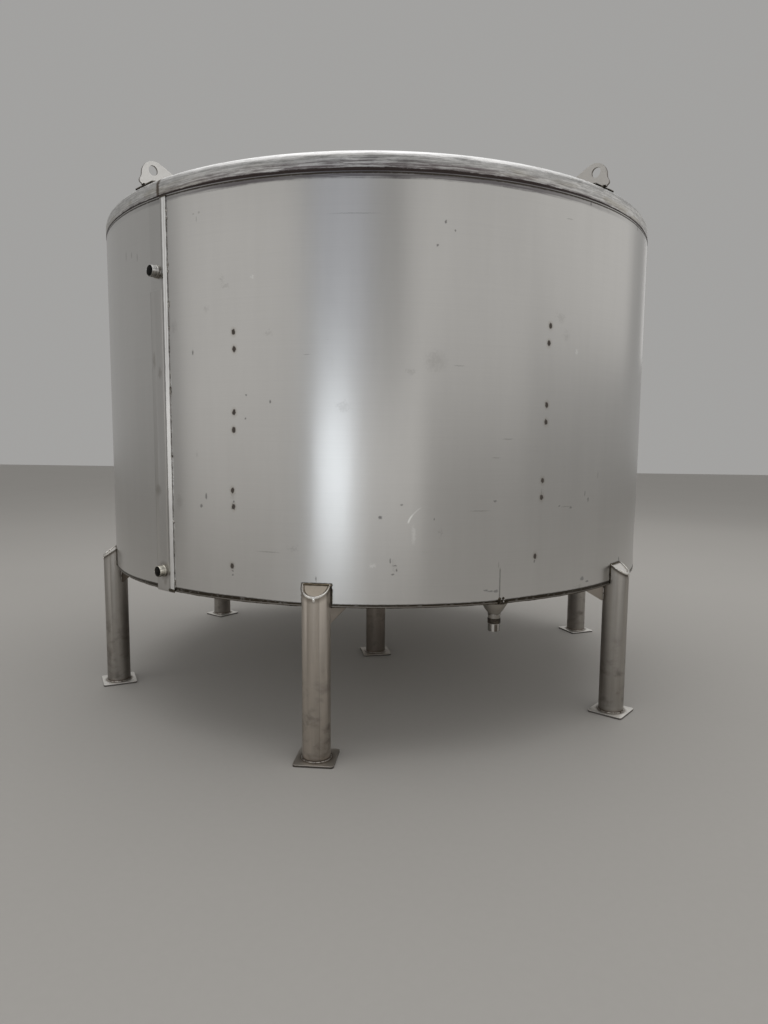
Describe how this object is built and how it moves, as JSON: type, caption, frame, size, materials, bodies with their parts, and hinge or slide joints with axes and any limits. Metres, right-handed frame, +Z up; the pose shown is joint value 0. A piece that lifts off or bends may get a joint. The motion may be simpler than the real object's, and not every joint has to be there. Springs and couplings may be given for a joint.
{
  "type": "vertical storage tank",
  "caption": "Round stainless steel storage tank on tubular legs, with a flanged conical roof, lifting lugs, side nozzles and a bottom drain.",
  "frame": {"origin": "on the floor under the centre leg, at the tank's axis", "axes": "+Z up along the tank's axis, -Y from the axis to the front leg, +X to the right of it"},
  "size_m": [3.53, 3.7484, 3.1088],
  "materials": {
    "shell": "cold-rolled stainless sheet, satin mill finish with a faint vertical sheen and smudges",
    "seam": "polished stainless overlap edge",
    "rim": "rolled stainless rim, ground and brushed round its length",
    "roof": "stainless sheet, satin mill finish",
    "bottom": "stainless plate, dull mill finish",
    "leg": "drawn stainless tube, brushed along its length",
    "leg_plate": "cut stainless plate, ground at the welds",
    "gusset": "cut stainless plate",
    "lug": "flame-cut stainless plate, dull",
    "pipe": "turned stainless pipe, bright",
    "collar": "heat-darkened stainless ring"
  },
  "bodies": {
    "root": {"shell_panel_lower": "shell", "shell_panel_middle": "shell", "shell_panel_upper": "shell", "shell_panel_top": "shell", "shell_sheet_1": "shell", "shell_sheet_2": "shell", "shell_sheet_3": "shell", "shell_sheet_4": "shell", "shell_sheet_5": "shell", "shell_sheet_6": "shell", "seam_lap": "seam", "cover_strip": "shell", "roof_rim": "rim", "roof_cone": "roof", "bottom_plate": "bottom", "leg_1": "leg", "leg_2": "leg", "leg_3": "leg", "leg_4": "leg", "leg_5": "leg", "leg_6": "leg", "leg_centre": "leg", "leg_cap_1": "leg_plate", "leg_cap_2": "leg_plate", "leg_cap_3": "leg_plate", "leg_cap_4": "leg_plate", "leg_cap_5": "leg_plate", "leg_cap_6": "leg_plate", "foot_plate_1": "leg_plate", "foot_plate_2": "leg_plate", "foot_plate_3": "leg_plate", "foot_plate_4": "leg_plate", "foot_plate_5": "leg_plate", "foot_plate_6": "leg_plate", "foot_plate_centre": "leg_plate", "gusset_1": "gusset", "gusset_2": "gusset", "gusset_3": "gusset", "gusset_4": "gusset", "gusset_5": "gusset", "gusset_6": "gusset", "lifting_lug_1": "lug", "lifting_lug_2": "lug", "lifting_lug_3": "lug", "lifting_lug_4": "lug", "lug_pad_1": "lug", "lug_pad_2": "lug", "lug_pad_3": "lug", "lug_pad_4": "lug", "nozzle_upper": "pipe", "nozzle_lower": "pipe", "drain_cone": "pipe", "drain_pipe": "pipe", "drain_collar": "collar"}
  },
  "joints": []
}
